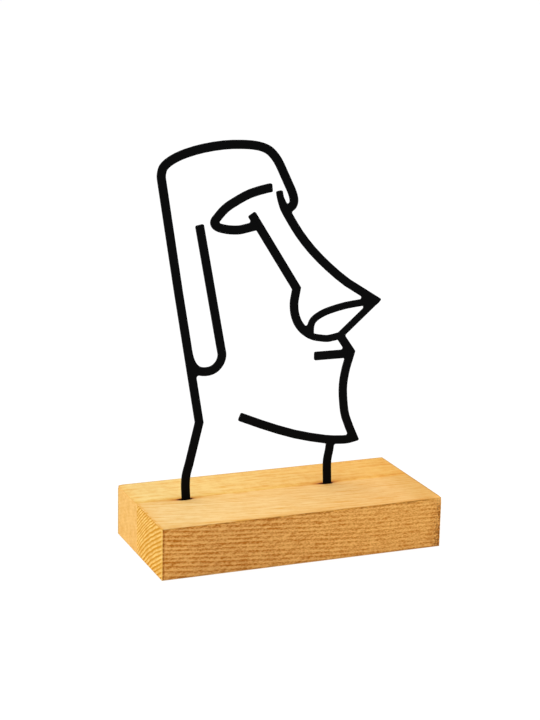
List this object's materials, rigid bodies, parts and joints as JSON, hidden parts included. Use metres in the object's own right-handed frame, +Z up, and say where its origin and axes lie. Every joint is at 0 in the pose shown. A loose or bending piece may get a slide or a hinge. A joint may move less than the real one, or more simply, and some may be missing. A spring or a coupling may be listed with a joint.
{
  "type": "moai head statue",
  "caption": "Table statue of a long-nosed stone-figure head in side view, drawn as a line cut from flat black sheet metal, standing on its legs in a plain sawn wooden block.",
  "frame": {"origin": "middle of the wooden block's underside, on the surface that it stands on", "axes": "+X along the block, the way the nose points; +Y away from the viewer, through the sheet; +Z up"},
  "size_m": [0.17, 0.08, 0.2342],
  "materials": {
    "wood": "bare softwood, sawn faces, planed top",
    "black_coat": "matt black powder coat"
  },
  "bodies": {
    "root": {"wooden_base": "wood", "metal_profile": "black_coat"}
  },
  "joints": []
}
